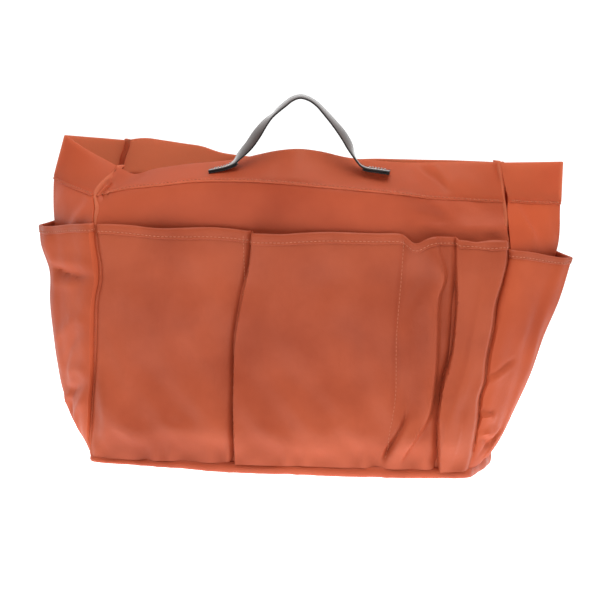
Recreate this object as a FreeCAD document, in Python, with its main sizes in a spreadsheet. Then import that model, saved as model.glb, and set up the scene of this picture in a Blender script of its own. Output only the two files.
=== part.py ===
"""Handbag organiser insert: an open-topped, gusseted fabric bag with pockets on every side.

X runs along the bag's width, the front faces -Y and +Z is up. The origin is the centre of the
base's underside. Every fabric piece is a closed solid of one skin thickness, lofted between
straight-sided sections, and layers that are sewn together lie a small gap apart.
"""
import FreeCAD, Part
import math
import os
import Sketcher

os.makedirs("parts", exist_ok=True)
doc = FreeCAD.newDocument("handbag_organiser")

# Driving dimensions: lengths in millimetres, angles in degrees, dividers as fractions of a panel.
SIZES = {
    # layers
    "skin": 1.2,
    "layer_gap": 0.3,
    "seam_gap": 0.8,
    "tape_thickness": 0.8,
    "tape_width": 5,
    "tape_clearance": 1.2,
    "crease_offset": 2,
    # heights above the surface that the bag stands on
    "base_height": 1.5,
    "seam_height": 10,
    "tape_foot_height": 18,
    "pocket_foot_height": 10.5,
    "side_pocket_height": 160,
    "pocket_height": 171,
    "band_height": 186,
    "rim_height": 213,
    "binding_height": 8,
    # corner seams and gusset creases along X, at the base, under the top band and at the rim
    "corner_left_base": -134,
    "corner_left_band": -131,
    "corner_left_rim": -124,
    "corner_right_base": 128,
    "corner_right_band": 149,
    "corner_right_rim": 143,
    "crease_left_base": -145,
    "crease_left_band": -166,
    "crease_left_rim": -163,
    "crease_right_base": 140,
    "crease_right_band": 186,
    "crease_right_rim": 184,
    # depth of the front and back faces from the middle plane, at their left and right ends
    "front_left_base": 44,
    "front_left_band": 38,
    "front_left_rim": 15,
    "front_right_base": 44,
    "front_right_band": 34,
    "front_right_rim": 8,
    "back_left_base": 44,
    "back_left_band": 38,
    "back_left_rim": 30,
    "back_right_base": 44,
    "back_right_band": 34,
    "back_right_rim": 12,
    # pockets
    "front_pocket_depth": 9,
    "back_pocket_depth": 8,
    "left_pocket_depth": 9,
    "right_pocket_depth": 14,
    "pocket_shoulder": 9,
    "side_pocket_flat": 9,
    "front_divider_one": 0.35,
    "front_divider_two": 0.72,
    "front_divider_three": 0.87,
    "back_divider_one": 0.34,
    "back_divider_two": 0.67,
    # handles
    "strap_width": 9,
    "strap_thickness": 1.2,
    "strap_end_length": 24,
    "strap_end_gap": 0.5,
    "arch_half_span": 36,
    "arch_rise": 48,
    "arch_radius": 15,
    "handle_middle": 6,
    "front_handle_height": 207,
    "back_handle_height": 198,
    "front_handle_offset": 27,
    "back_handle_offset": 38,
    "back_handle_hang_angle": 148,
    "back_handle_end_lean": 62,
}

sizes = doc.addObject("Spreadsheet::Sheet", "sizes")
for row, (alias, number) in enumerate(SIZES.items(), start=1):
    sizes.set(f"A{row}", str(number))
    sizes.setAlias(f"A{row}", alias)
doc.recompute()

OUTWARD = {"front": (0, -1), "back": (0, 1), "left": (-1, 0), "right": (1, 0)}
SKIN_INSIDE = ("-sizes.skin", "0")
SKIN_OUTSIDE = ("sizes.layer_gap", "sizes.layer_gap + sizes.skin")
TAPE_OUTSIDE = (
    "sizes.layer_gap * 2 + sizes.skin",
    "sizes.layer_gap * 2 + sizes.skin + sizes.tape_thickness",
)


def value(expression):
    """The number that an expression of the sheet's cells gives."""
    return float(sizes.evalExpression(expression))


# ------------------------------------------------------------------ outlines, as expressions
def edge(name, height):
    """Where a named edge of the shell is at a height, on its straight run from level to level."""
    below_band = value(height) <= value("sizes.band_height")
    levels = ("base", "band") if below_band else ("band", "rim")
    low, high = (f"sizes.{name}_{level}" for level in levels)
    floor, ceiling = (f"sizes.{level}_height" for level in levels)
    return f"({low} + ({high} - {low}) * ({height} - {floor}) / ({ceiling} - {floor}))"


def sign(side):
    """-1 for the front and left, 1 for the back and right."""
    return sum(OUTWARD[side])


def face_point(side, fraction, height):
    """A point of the front or back face, by its fraction of the way from left to right."""
    left, right = edge("corner_left", height), edge("corner_right", height)
    near, far = edge(f"{side}_left", height), edge(f"{side}_right", height)
    x = f"({left} + ({right} - {left}) * {fraction})"
    y = f"({sign(side)} * ({near} + ({far} - {near}) * {fraction}))"
    return x, y


def shifted(point, dx="0", dy="0"):
    return f"({point[0]} + ({dx}))", f"({point[1]} + ({dy}))"


def face_path(side, height):
    """The outer line of the front or back face, from the left seam to the right seam."""
    start = shifted(face_point(side, 0, height), dx="sizes.seam_gap")
    end = shifted(face_point(side, 1, height), dx="-sizes.seam_gap")
    return [start, end]


def gusset_path(side, height):
    """The outer line of a gusset: out from the front seam to the crease, back in to the rear."""
    corner, crease = edge(f"corner_{side}", height), edge(f"crease_{side}", height)
    front = f"(sizes.seam_gap - {edge(f'front_{side}', height)})"
    back = f"({edge(f'back_{side}', height)} - sizes.seam_gap)"
    return [(corner, front), (crease, "0"), (corner, back)]


def fullness(depth, height, top):
    """How far a pocket stands off at a height: nothing at its foot, its full depth at the top."""
    foot = "sizes.pocket_foot_height"
    return f"(sizes.{depth} * ({height} - {foot}) / (sizes.{top} - {foot}))"


def pocket_strip_path(side, dividers, height):
    """A strip sewn to the face at its ends and dividers, standing off it in each pocket."""
    stands = f"({sign(side)} * {fullness(f'{side}_pocket_depth', height, 'pocket_height')})"
    fractions = ["0"] + [f"sizes.{name}" for name in dividers] + ["1"]
    seams = [face_point(side, fraction, height) for fraction in fractions]
    seams[0] = shifted(seams[0], dx="sizes.seam_gap")
    seams[-1] = shifted(seams[-1], dx="-sizes.seam_gap")
    path = [seams[0]]
    for left, right in zip(seams, seams[1:]):
        path.append(shifted(left, dx="sizes.pocket_shoulder", dy=stands))
        path.append(shifted(right, dx="-sizes.pocket_shoulder", dy=stands))
        path.append(right)
    return path


def side_pocket_path(side, height):
    """A pocket on a gusset: sewn at both seams, with a flat front that stands off the crease."""
    front, crease, back = gusset_path(side, height)
    depth = fullness(f"{side}_pocket_depth", height, "side_pocket_height")
    out = f"({crease[0]} + {sign(side)} * {depth})"
    return [front, (out, "-sizes.side_pocket_flat"), (out, "sizes.side_pocket_flat"), back]


def directions(side, path):
    """The way outward at each point of a path: a gusset's seams face out past their corners."""
    dx, dy = OUTWARD[side]
    inner_count = len(path) - 2
    if not dx:
        return [(dx, dy)] * len(path)
    middle = (dx * SIZES["crease_offset"], 0) if inner_count == 1 else (dx, 0)
    return [(dx, -1)] + [middle] * inner_count + [(dx, 1)]


def layer(side, path, offsets):
    """The closed outline of one layer of fabric, between two offsets outward from a path."""
    ways = directions(side, path)
    near, far = (
        [shifted(point, f"{dx} * ({offset})", f"{dy} * ({offset})")
         for point, (dx, dy) in zip(path, ways)]
        for offset in offsets)
    return near + far[::-1]


# ------------------------------------------------------------------ features
def new_body(label):
    body = doc.addObject("PartDesign::Body", label)
    body.Label = label
    return body


def sketch_on(body, role, name, height="0"):
    """A sketch on one of the body's own origin planes, raised to a height above it."""
    plane = next(f for f in body.Origin.OriginFeatures if f.Role == role)
    sketch = body.newObject("Sketcher::SketchObject", f"{body.Label}_{name}")
    sketch.AttachmentSupport = [(plane, "")]
    sketch.MapMode = "FlatFace"
    sketch.AttachmentOffset = FreeCAD.Placement(
        FreeCAD.Vector(0, 0, value(height)), FreeCAD.Rotation())
    sketch.setExpression("AttachmentOffset.Base.z", height)
    return sketch


def add_outline(sketch, points):
    """A closed outline of straight edges, every corner bound to the sheet."""
    first = sketch.GeometryCount
    count = len(points)
    corners = [FreeCAD.Vector(value(x), value(y), 0) for x, y in points]
    sketch.addGeometry([
        Part.LineSegment(corners[i], corners[(i + 1) % count]) for i in range(count)])
    for i in range(count):
        following = first + (i + 1) % count
        sketch.addConstraint(Sketcher.Constraint("Coincident", first + i, 2, following, 1))
    for i, point in enumerate(points):
        for kind, expression, number in zip(("DistanceX", "DistanceY"), point, corners[i]):
            index = sketch.addConstraint(
                Sketcher.Constraint(kind, -1, 1, first + i, 1, number))
            sketch.setExpression(f"Constraints[{index}]", expression)


def fabric(label, outline, heights):
    """A skin lofted through its outline at each height, with straight runs between them."""
    body = new_body(label)
    sections = []
    for number, height in enumerate(heights, start=1):
        section = sketch_on(body, "XY_Plane", f"section_{number}", height)
        add_outline(section, outline(height))
        sections.append(section)
    loft = body.newObject("PartDesign::AdditiveLoft", f"{label}_loft")
    loft.Profile = sections[0]
    loft.Sections = sections[1:]
    loft.Ruled = True
    return body


def pad(body, sketch, length, symmetric=False):
    feature = body.newObject("PartDesign::Pad", f"{body.Label}_pad")
    feature.Profile = sketch
    feature.setExpression("Length", length)
    if symmetric:
        feature.SideType = "Symmetric"
    return feature


def base_outline(offset):
    """The base's outline, an offset outside the panels where they meet it."""
    corners = []
    for side, face in (("left", "front"), ("right", "front"), ("right", "back"), ("left", "back")):
        x = f"({edge(f'corner_{side}', 'sizes.seam_height')} + {sign(side)} * ({offset}))"
        y = f"({sign(face)} * (sizes.{face}_{side}_base + ({offset})))"
        corners.append((x, y))
    creases = [
        (f"({edge(f'crease_{side}', 'sizes.seam_height')} + {sign(side)} * ({offset}))", "0")
        for side in ("right", "left")]
    return corners[:2] + creases[:1] + corners[2:] + creases[1:]


def make_base_panel():
    """The base: one sheet with its edge turned up all round to meet the panels."""
    body = new_body("base_panel")
    outside = sketch_on(body, "XY_Plane", "outline")
    add_outline(outside, base_outline("sizes.layer_gap + sizes.skin"))
    pad(body, outside, "sizes.seam_height")
    doc.recompute()
    solid_volume = body.Shape.Volume
    inside = sketch_on(body, "XY_Plane", "hollow", "sizes.seam_height")
    add_outline(inside, base_outline("sizes.layer_gap"))
    hollow = body.newObject("PartDesign::Pocket", "base_panel_pocket")
    hollow.Profile = inside
    hollow.setExpression("Length", "sizes.seam_height - sizes.skin")
    doc.recompute()
    if body.Shape.Volume > 0.5 * solid_volume:
        raise RuntimeError("the base's hollow was not cut")
    return body


def make_base_seam_binding():
    """Tape over the raw edges of the seam between the base and the panels, inside the bag."""
    body = new_body("base_seam_binding")
    ring = sketch_on(body, "XY_Plane", "ring", "sizes.seam_height")
    reach = "-(sizes.skin + sizes.tape_clearance"
    add_outline(ring, base_outline(f"{reach})"))
    add_outline(ring, base_outline(f"{reach} + sizes.tape_thickness)"))
    pad(body, ring, "sizes.tape_width")
    return body


def corner_tape_outline(face, side, height):
    """Tape standing inward on a corner seam's allowance, across the face."""
    x, y = face_point(face, 0 if side == "left" else 1, height)
    inward = -sign(side)
    near = f"{inward} * (sizes.skin + sizes.layer_gap)"
    far = f"{inward} * (sizes.skin + sizes.layer_gap + sizes.tape_thickness)"
    start = f"{-sign(face)} * (sizes.skin + sizes.layer_gap)"
    end = f"{-sign(face)} * (sizes.skin + sizes.layer_gap + sizes.tape_width)"
    steps = ((near, start), (far, start), (far, end), (near, end))
    return [shifted((x, y), dx, dy) for dx, dy in steps]


def make_strap_arch(label):
    """The free part of a handle: two straight legs and a round top, in the plane of the legs."""
    body = new_body(label)
    sketch = sketch_on(body, "XZ_Plane", "arch")
    half_span, rise = SIZES["arch_half_span"], SIZES["arch_rise"]
    radius, thickness = SIZES["arch_radius"], SIZES["strap_thickness"]
    centre = FreeCAD.Vector(0, rise - radius, 0)
    reach = math.hypot(half_span, centre.y)
    touch_angle = math.acos(radius / reach) - math.atan2(centre.y, half_span)
    leg_direction = FreeCAD.Vector(math.sin(touch_angle), -math.cos(touch_angle), 0)

    def runs(arc_radius):
        """One side of the strap: left leg, round top, right leg, each from left to right."""
        touch = centre + FreeCAD.Vector(math.cos(touch_angle), math.sin(touch_angle), 0) * arc_radius
        foot = touch + leg_direction * (-touch.y / leg_direction.y)
        circle = Part.Circle(centre, FreeCAD.Vector(0, 0, 1), arc_radius)
        mirrored = [FreeCAD.Vector(-point.x, point.y, 0) for point in (touch, foot)]
        left_leg = Part.LineSegment(mirrored[1], mirrored[0])
        top = Part.ArcOfCircle(circle, touch_angle, math.pi - touch_angle)
        return [left_leg, top, Part.LineSegment(touch, foot)]

    outer, inner = runs(radius), runs(radius - thickness)
    right_foot = Part.LineSegment(outer[2].EndPoint, inner[2].EndPoint)
    left_foot = Part.LineSegment(outer[0].StartPoint, inner[0].StartPoint)
    sketch.addGeometry(outer + inner + [right_foot, left_foot])
    constraints = [Sketcher.Constraint("Coincident", 1, 3, 4, 3)]
    for left_leg, top, right_leg in ((0, 1, 2), (3, 4, 5)):
        constraints.append(Sketcher.Constraint("Tangent", left_leg, 2, top, 2))
        constraints.append(Sketcher.Constraint("Tangent", top, 1, right_leg, 1))
        constraints.append(Sketcher.Constraint("Coincident", right_leg, 2, 6, left_leg // 3 + 1))
        constraints.append(Sketcher.Constraint("Coincident", left_leg, 1, 7, left_leg // 3 + 1))
    constraints += [
        Sketcher.Constraint("Parallel", 0, 3),
        Sketcher.Constraint("Parallel", 2, 5),
        Sketcher.Constraint("Horizontal", 6),
        Sketcher.Constraint("Horizontal", 7),
        Sketcher.Constraint("PointOnObject", 1, 3, -2),
        Sketcher.Constraint("PointOnObject", 6, 1, -1),
        Sketcher.Constraint("PointOnObject", 7, 1, -1),
    ]
    sketch.addConstraint(constraints)
    bound = [
        (Sketcher.Constraint("Radius", 1, radius), "sizes.arch_radius"),
        (Sketcher.Constraint("Radius", 4, radius - thickness),
         "sizes.arch_radius - sizes.strap_thickness"),
        (Sketcher.Constraint("DistanceY", -1, 1, 1, 3, centre.y),
         "sizes.arch_rise - sizes.arch_radius"),
        (Sketcher.Constraint("DistanceX", -1, 1, 2, 2, half_span), "sizes.arch_half_span"),
        (Sketcher.Constraint("DistanceX", -1, 1, 0, 1, -half_span), "-sizes.arch_half_span"),
    ]
    for constraint, expression in bound:
        index = sketch.addConstraint(constraint)
        sketch.setExpression(f"Constraints[{index}]", expression)
    pad(body, sketch, "sizes.strap_width", symmetric=True)
    return body


def make_strap_end(label, side):
    """A handle's end: the strap folded back on itself and sewn flat, pointing outward."""
    body = new_body(label)
    sketch = sketch_on(body, "XY_Plane", "outline", "-sizes.strap_thickness")
    start = f"{sign(side)} * (sizes.arch_half_span + sizes.strap_end_gap)"
    end = f"{sign(side)} * (sizes.arch_half_span + sizes.strap_end_gap + sizes.strap_end_length)"
    half = "sizes.strap_width / 2"
    add_outline(sketch, [(start, f"-{half}"), (end, f"-{half}"), (end, half), (start, half)])
    pad(body, sketch, "2 * sizes.strap_thickness")
    return body


def place_handle(face, body, turn):
    """Moves a handle's piece to its face, turned about the line through the handle's ends."""
    body.Placement = FreeCAD.Placement(
        FreeCAD.Vector(0, 0, 0), FreeCAD.Rotation(FreeCAD.Vector(1, 0, 0), -value(turn)))
    if value(turn):
        body.setExpression(".Placement.Rotation.Angle", f"-{turn}")
    body.setExpression(".Placement.Base.x", "sizes.handle_middle")
    body.setExpression(".Placement.Base.y", f"{sign(face)} * sizes.{face}_handle_offset")
    body.setExpression(".Placement.Base.z", f"sizes.{face}_handle_height")


# ------------------------------------------------------------------ the pieces
SHELL_HEIGHTS = ("sizes.base_height", "sizes.band_height", "sizes.rim_height")
BAND_HEIGHTS = ("sizes.band_height", "sizes.rim_height")
TAPE_HEIGHTS = ("sizes.tape_foot_height", "sizes.band_height", "sizes.rim_height")
DIVIDERS = {
    "front": ("front_divider_one", "front_divider_two", "front_divider_three"),
    "back": ("back_divider_one", "back_divider_two"),
}

nodes = [make_base_panel(), make_base_seam_binding()]

for side in OUTWARD:
    is_gusset = side in ("left", "right")
    path = gusset_path if is_gusset else face_path

    def shell_outline(height, side=side, path=path):
        return layer(side, path(side, height), SKIN_INSIDE)

    def band_outline(height, side=side, path=path):
        return layer(side, path(side, height), SKIN_OUTSIDE)

    nodes.append(fabric(f"{side}_gusset" if is_gusset else f"{side}_panel",
                        shell_outline, SHELL_HEIGHTS))
    nodes.append(fabric(f"{side}_top_band", band_outline, BAND_HEIGHTS))

for face in ("front", "back"):
    for side in ("left", "right"):

        def tape_outline(height, face=face, side=side):
            return corner_tape_outline(face, side, height)

        nodes.append(fabric(f"{face}_{side}_seam_binding", tape_outline, TAPE_HEIGHTS))

for side in OUTWARD:
    is_strip = side in DIVIDERS
    top = "sizes.pocket_height" if is_strip else "sizes.side_pocket_height"

    def pocket_path(height, side=side, is_strip=is_strip):
        if is_strip:
            return pocket_strip_path(side, DIVIDERS[side], height)
        return side_pocket_path(side, height)

    def pocket_outline(height, side=side, pocket_path=pocket_path):
        return layer(side, pocket_path(height), SKIN_OUTSIDE)

    def binding_outline(height, side=side, pocket_path=pocket_path):
        return layer(side, pocket_path(height), TAPE_OUTSIDE)

    nodes.append(fabric(f"{side}_pocket_strip" if is_strip else f"{side}_side_pocket",
                        pocket_outline, ("sizes.pocket_foot_height", top)))
    nodes.append(fabric(f"{side}_pocket_binding", binding_outline,
                        (f"{top} - sizes.binding_height", top)))

# The front handle stands and its ends lie level. The back one hangs, and its ends lie on the band.
for face, strap_turn, end_turn in (
        ("front", "0", "0"),
        ("back", "sizes.back_handle_hang_angle", "sizes.back_handle_end_lean")):
    strap = make_strap_arch(f"{face}_handle_strap")
    place_handle(face, strap, strap_turn)
    nodes.append(strap)
    for side in ("left", "right"):
        strap_end = make_strap_end(f"{face}_handle_{side}_end", side)
        place_handle(face, strap_end, end_turn)
        nodes.append(strap_end)

# ------------------------------------------------------------------ checks and export
doc.recompute()
for item in doc.Objects:
    if "Invalid" in item.State or "Error" in item.State:
        raise RuntimeError(f"{item.Label} did not compute: {item.State}")
for node in nodes:
    if node.Shape.isNull() or not node.Shape.isValid() or len(node.Shape.Solids) != 1:
        raise RuntimeError(f"{node.Label} is not one valid solid")
    node.Shape.exportStep(f"parts/{node.Label}.step")
    box = node.Shape.BoundBox
    print(f"{node.Label}: {node.Shape.Volume / 1000:.2f} cm3, x {box.XMin:.1f} {box.XMax:.1f}, "
          f"y {box.YMin:.1f} {box.YMax:.1f}, z {box.ZMin:.1f} {box.ZMax:.1f}")
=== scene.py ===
import math
from functools import partial

import bpy
import numpy as np
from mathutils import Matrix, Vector, noise


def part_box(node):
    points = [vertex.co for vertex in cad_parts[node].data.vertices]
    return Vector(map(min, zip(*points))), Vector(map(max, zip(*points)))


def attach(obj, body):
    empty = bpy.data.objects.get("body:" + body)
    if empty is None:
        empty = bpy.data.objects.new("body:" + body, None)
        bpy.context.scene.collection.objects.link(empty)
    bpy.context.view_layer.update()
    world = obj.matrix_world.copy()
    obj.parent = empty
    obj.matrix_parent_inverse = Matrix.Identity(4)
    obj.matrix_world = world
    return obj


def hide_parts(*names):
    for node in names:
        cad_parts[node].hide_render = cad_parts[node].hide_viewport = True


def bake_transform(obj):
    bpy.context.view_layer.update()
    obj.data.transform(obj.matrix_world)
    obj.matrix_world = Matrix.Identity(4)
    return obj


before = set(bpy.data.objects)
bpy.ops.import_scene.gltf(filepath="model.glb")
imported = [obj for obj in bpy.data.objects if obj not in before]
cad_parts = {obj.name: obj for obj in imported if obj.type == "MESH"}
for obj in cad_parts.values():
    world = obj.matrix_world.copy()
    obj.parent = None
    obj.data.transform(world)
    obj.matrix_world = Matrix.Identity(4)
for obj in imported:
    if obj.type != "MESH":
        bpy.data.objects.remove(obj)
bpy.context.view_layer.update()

# Shapes are worked out in millimetres, in the CAD's frame, and written to meshes in metres.
MM = 0.001
CLOTH_THICKNESS = 0.45
GRID_STEP = 2.6
# Columns to a pocket strip's whole width where its folds are tight.
DENSE_COLUMNS = 450
# The base cloth's height off the floor and its thickness.
BASE_GAP = 0.35
BASE_THICKNESS = 0.5
# The pocket bindings' height along the cloth, and how far they and the bands stand off it.
BINDING = 5.6
BINDING_PROUD = 0.9
BAND_PROUD = 0.95
STITCH_PITCH = 2.7
# Widths along the cloth between its seams, round the crease for the gussets.
PANEL_WIDTH = 280
GUSSET_WIDTH = 96
STRAP_WIDTH = 9.0
STRAP_THICKNESS = 1.2
# From the back band's cloth to the middle of the strap sewn to it: half a band, a backing
# and half a strap.
STRAP_STACK = 2.8

# The studio is a bright tent with a bright floor, open and dimmer in front of the bag.
TENT_LIGHT = 1.2
OPENING_LIGHT = 0.16
TENT_OPENING = (0.03, -0.99, 0.1)
# The tent's edge: how nearly a direction faces the opening where the dimming starts and ends.
TENT_EDGE = (-0.35, 0.7)
# The floor's own light beside the bag and far from it, and where it fades, in metres.
FLOOR_GLOW = (2.0, 0.95)
FLOOR_FADE = (0.16, 0.46)
FLOOR_GREY = (0.32, 0.32, 0.32, 1)
FLOOR_REACH = 14000
# The soft light overhead, in metres and watts, and the place that it faces.
OVERHEAD_PLACE, OVERHEAD_SIZE, OVERHEAD_POWER = (0.2, -0.5, 1.5), 0.9, 19
LAMP_TARGET = (0, 0, 0.12)
# The camera, in degrees and metres.
AZIMUTH, ELEVATION, DISTANCE = 6, 13, 1.5
CAMERA_TARGET = (0.007, 0.0, 0.108)
VIEW_WIDTH = 0.4166
SENSOR_WIDTH = 36


# ---------------- the frame's places
def span(node):
    """The lowest and highest corner of a CAD node, in millimetres."""
    low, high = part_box(node)
    return [value / MM for value in low], [value / MM for value in high]


LEFT, RIGHT = span("front_panel")[0][0], span("front_panel")[1][0]
LEFT_CREASE, RIGHT_CREASE = span("left_gusset")[0][0], span("right_gusset")[1][0]
LEFT_LIP, RIGHT_LIP = span("left_side_pocket")[0][0], span("right_side_pocket")[1][0]
FRONT, BACK = span("base_panel")[0][1], span("base_panel")[1][1]
SEAM = span("base_panel")[1][2]
POCKET_TOP = span("front_pocket_strip")[1][2] - SEAM
BAND_FOOT = span("front_top_band")[0][2] - SEAM
RIM = span("front_top_band")[1][2] - SEAM
OUTWARD = {"front": (0, -1, 0), "back": (0, 1, 0), "left": (-1, 0, 0), "right": (1, 0, 0)}
FACE_WIDTHS = {"front": PANEL_WIDTH, "back": PANEL_WIDTH, "left": GUSSET_WIDTH,
               "right": GUSSET_WIDTH}


# ---------------- curves and surfaces
def hermite(knots, rows, at):
    """A smooth curve through rows at knots, read at each value of at, one row for each."""
    knots = np.asarray(knots, float)
    rows = np.asarray(rows, float)
    at = np.atleast_1d(np.asarray(at, float))
    if rows.ndim == 1:
        rows = rows[:, None]
    if rows.ndim == 2:
        rows = np.repeat(rows[:, None, :], len(at), axis=1)
    slopes = np.empty_like(rows)
    steps = np.diff(knots)[:, None, None]
    chords = np.diff(rows, axis=0) / steps
    slopes[0], slopes[-1] = chords[0], chords[-1]
    slopes[1:-1] = (chords[:-1] * steps[1:] + chords[1:] * steps[:-1]) / (steps[1:] + steps[:-1])
    index = np.clip(np.searchsorted(knots, at, side="right") - 1, 0, len(knots) - 2)
    which = np.arange(len(at))
    width = (knots[index + 1] - knots[index])[:, None]
    t = (at - knots[index])[:, None] / width
    start, end = rows[index, which], rows[index + 1, which]
    out, into = slopes[index, which] * width, slopes[index + 1, which] * width
    return ((2 * t**3 - 3 * t**2 + 1) * start + (t**3 - 2 * t**2 + t) * out
            + (3 * t**2 - 2 * t**3) * end + (t**3 - t**2) * into)


def curve(keys, at):
    """A smooth curve through (place, value) keys."""
    return hermite([key[0] for key in keys], [key[1] for key in keys], at)[:, 0]


def smoothstep(low, high, at):
    t = np.clip((np.asarray(at, float) - low) / (high - low), 0, 1)
    return t * t * (3 - 2 * t)


def unit(vectors):
    return vectors / (np.linalg.norm(vectors, axis=-1, keepdims=True) + 1e-9)


def bump(at, centre, before, after):
    """A bell whose widths differ on its two sides."""
    width = np.where(at < centre, before, after)
    return np.exp(-((at - centre) / width) ** 2)


# Each corner seam, gusset crease and side pocket's middle line: (height along the cloth, then
# x, y, z away from an upright line at the frame's own corner).
POSTS = {
    "front_left": (LEFT, FRONT, [
        (0, -1.5, 3, -1.5), (8, -2.5, 2.5, -1), (34, -0.8, 1.5, 0), (53, 1.2, 1.5, 0),
        (88, 2.7, 1.5, 0), (112, 4.6, 2, 0), (121, 6.6, 2.5, 0), (129, 6.8, 2.5, 0),
        (149, 4.5, 3, 0), (POCKET_TOP, 3.9, 5, -0.5), (169, 4.5, 8, 0.5), (BAND_FOOT, 3, 12, 0.5),
        (RIM, 14, 36, -10)]),
    "front_right": (RIGHT, FRONT, [
        (0, -27, 3.5, -2.5), (20, -21.7, 3.5, -1), (32, -19.7, 4.5, 0), (48, -18.9, 5.5, 0),
        (59, -15.8, 6.5, 0), (72, -15, 7.5, 0), (97, -11.1, 10.5, 0), (108, -10.3, 12.5, 0),
        (125, -6.3, 15.5, 0), (142, -3.4, 17.5, -1), (POCKET_TOP, -5, 23, -2),
        (BAND_FOOT, -7, 30, -1.7), (RIM, -11, 37.5, -3)]),
    "left_crease": (LEFT_CREASE, 0, [
        (0, 24, 0, 0), (40, 9, 0, -4), (90, 4, 0, 0), (140, 1, 0, 0), (162, -0.6, 0, 2),
        (BAND_FOOT, 0.5, -1, 6), (RIM, 9, 0, 9.5)]),
    "right_crease": (RIGHT_CREASE, 0, [
        (0, -51, -8, -1), (50, -38, 0, 0), (100, -23, 0, 0), (140, -9, 0, 2),
        (BAND_FOOT, -8, 0, -5), (RIM, -7.3, 0, -3)]),
    "back_left": (LEFT, BACK, [
        (0, 4, -3, 0), (60, 0, -2.5, 0), (120, 2, -5.5, 0), (POCKET_TOP, 4, -8.5, 0),
        (BAND_FOOT, 5, -11, 2), (RIM, 12.5, -15.5, 2)]),
    "back_right": (RIGHT, BACK, [
        (0, -25, -3.5, -1), (60, -17, -4.5, -1), (120, -9, -10.5, -1), (POCKET_TOP, -4, -18.5, -1),
        (BAND_FOOT, -6, -27.5, -1), (RIM, -9, -36.5, -6)]),
    "left_lip": (LEFT_LIP, 0, [
        (0, 32, -4, 0), (12, 21, -3, 0), (30, 12, 0, 0), (55, 7, 0, 0), (76, 5, 0, 0),
        (97, 3.5, 0, 0), (118, 3.6, 0, 0), (137, -1.6, -1, 0), (152, -2.4, 0, -1)]),
    "right_lip": (RIGHT_LIP, 0, [
        (0, -60, -9, -1), (6, -56, -8, -1), (31, -43.5, -3, 0), (52, -34.5, 0, 0),
        (82, -25, 0, 0), (106, -15.8, 0, 0), (129, -9.6, 0, 0), (138, -8, 0, -2)]),
}

# How far each face strays from the straight line between its corner seams, as
# (fraction along the face, towards the back, up), at some heights along the cloth. Its two ends
# lie on the seams.
FRONT_ROWS = {
    0: [(0.12, -2, 0), (0.5, -2.5, 0), (0.9, -2, 0)],
    40: [(0.3, 1, 0), (0.7, -2, 0), (0.92, -2, 0)],
    95: [(0.3, 0, 0), (0.7, -4, 0), (0.9, -4, 0)],
    POCKET_TOP: [(0.25, -3, 2), (0.5, -8, 2), (0.75, -11, 1), (0.9, -7, 0)],
    BAND_FOOT: [(0.07, -1.5, 5), (0.17, -7, 9.5), (0.265, -10, 13), (0.37, -12, 13.5),
                (0.5, -13, 12), (0.61, -14, 10), (0.75, -15, 7), (0.84, -11, 3.5), (0.92, -6, 1.5)],
    RIM: [(0.04, 1, -5.5), (0.1, -2, -2), (0.15, -4, 0), (0.2, -4, 1.5), (0.27, -4.5, 3),
          (0.34, -5.5, 5.5), (0.38, -7, 8), (0.43, -10, 11), (0.487, -13, 12.5), (0.54, -10, 10),
          (0.6, -6, 5.5), (0.67, -5, 3), (0.73, -5, 1.5), (0.87, -3, 1)],
}
BACK_ROWS = {
    0: [(0.5, 2, 0)],
    60: [(0.5, -1, 0)],
    POCKET_TOP: [(0.3, 3.5, 0), (0.7, 7.5, 0)],
    BAND_FOOT: [(0.2, 4, -1), (0.35, 7.2, -3), (0.5, 10.5, -5), (0.62, 14, -4),
                (0.72, 14, -2), (0.8, 10, -1), (0.9, 4, 0)],
    RIM: [(0.05, 2.5, 2), (0.1, 4.2, 1), (0.16, 5, -0.6), (0.2, 5.6, -1.8),
          (0.25, 6, -5.4), (0.31, 6.4, -7), (0.4, 7.8, -7.9), (0.5, 9.5, -8.3),
          (0.6, 11.5, -6.1), (0.67, 12.3, -4.5), (0.72, 12, -4), (0.8, 9, -2.7),
          (0.9, 3, -0.8)],
}

ROWS = {"front": FRONT_ROWS, "back": BACK_ROWS}

# Soft creases on each face: (from, height, to, height, width, outward lift). Places along the front
# and back are from the left corner, and round a gusset from its front seam.
CREASES = {
    "front": [
        (8, 178, 27, 184, 2.6, 1.3), (6, 172, 34, 180, 3, -1), (30, 167, 62, 172, 7, 0.9),
        (120, 166, 160, 176, 9, 0.9), (226, 174, 282, 156, 3, 2.4), (222, 166, 268, 150, 3.5, 1.2),
        (238, 181, 284, 167, 3.6, -1.3), (208, 174, 250, 161, 3.6, -2), (190, 182, 240, 172, 4, 0.8),
        (214, 203, 236, 181, 4.5, -2.2), (224, 204, 244, 184, 3.5, 1.8), (262, 204, 278, 182, 3.5, -1.6),
        (96, 178, 108, 200, 5, 0.8), (176, 178, 186, 200, 6, 0.9), (205, 180, 232, 198, 5, -0.8),
        (240, 196, 262, 182, 4, 1), (120, 180, 134, 202, 6, -0.7)],
    "back": [
        (40, 168, 90, 176, 6, 1), (150, 170, 220, 176, 7, -1), (230, 150, 262, 176, 5, 1.2),
        (100, 182, 140, 200, 6, 0.9)],
    "left": [
        (4, 168, 34, 146, 3, 1.8), (8, 176, 30, 158, 3, -1.2), (28, 172, 46, 160, 4, 0.9),
        (58, 172, 80, 150, 4, 1), (20, 186, 40, 200, 5, 0.8)],
    "right": [
        (1, 184, 22, 146, 2.8, 3), (12, 186, 34, 150, 4.5, -1.8), (30, 172, 44, 140, 4, 1.2),
        (2, 203, 22, 192, 3, 1.8), (6, 196, 30, 186, 3, -1.6),
        (60, 170, 86, 140, 5, 1.4), (18, 196, 38, 184, 4, 0.9)],
}


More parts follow.
